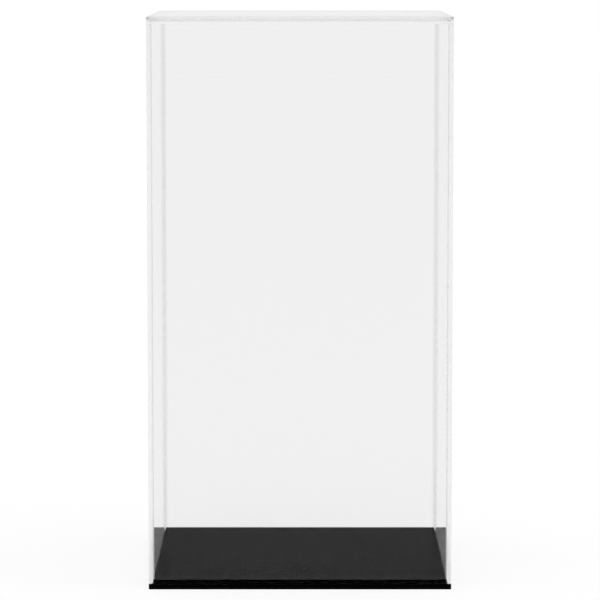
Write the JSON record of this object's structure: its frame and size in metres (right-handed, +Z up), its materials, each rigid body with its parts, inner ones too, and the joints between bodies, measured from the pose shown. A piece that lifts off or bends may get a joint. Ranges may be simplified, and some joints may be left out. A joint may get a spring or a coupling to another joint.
{
  "type": "acrylic display box",
  "caption": "Tall clear acrylic display cover with rounded edges that lifts off a flat black base with a raised locating plate.",
  "frame": {"origin": "centre of the base plate's underside, on the surface that the box stands on", "axes": "+Z up along the height, -Y towards the front as pictured, +X to the right seen from the front"},
  "size_m": [0.18, 0.18, 0.34],
  "materials": {
    "clear_acrylic": "polished",
    "black_acrylic": "polished"
  },
  "bodies": {
    "base": {"base_plate": "black_acrylic", "raised_plinth": "black_acrylic"},
    "cover": {"front_panel": "clear_acrylic", "back_panel": "clear_acrylic", "left_panel": "clear_acrylic", "right_panel": "clear_acrylic", "top_panel": "clear_acrylic"}
  },
  "joints": [
    {"name": "cover_lift", "type": "slide", "parent": "base", "child": "cover", "axis": [0, 0, 1], "range_m": [0, 0.36]}
  ]
}
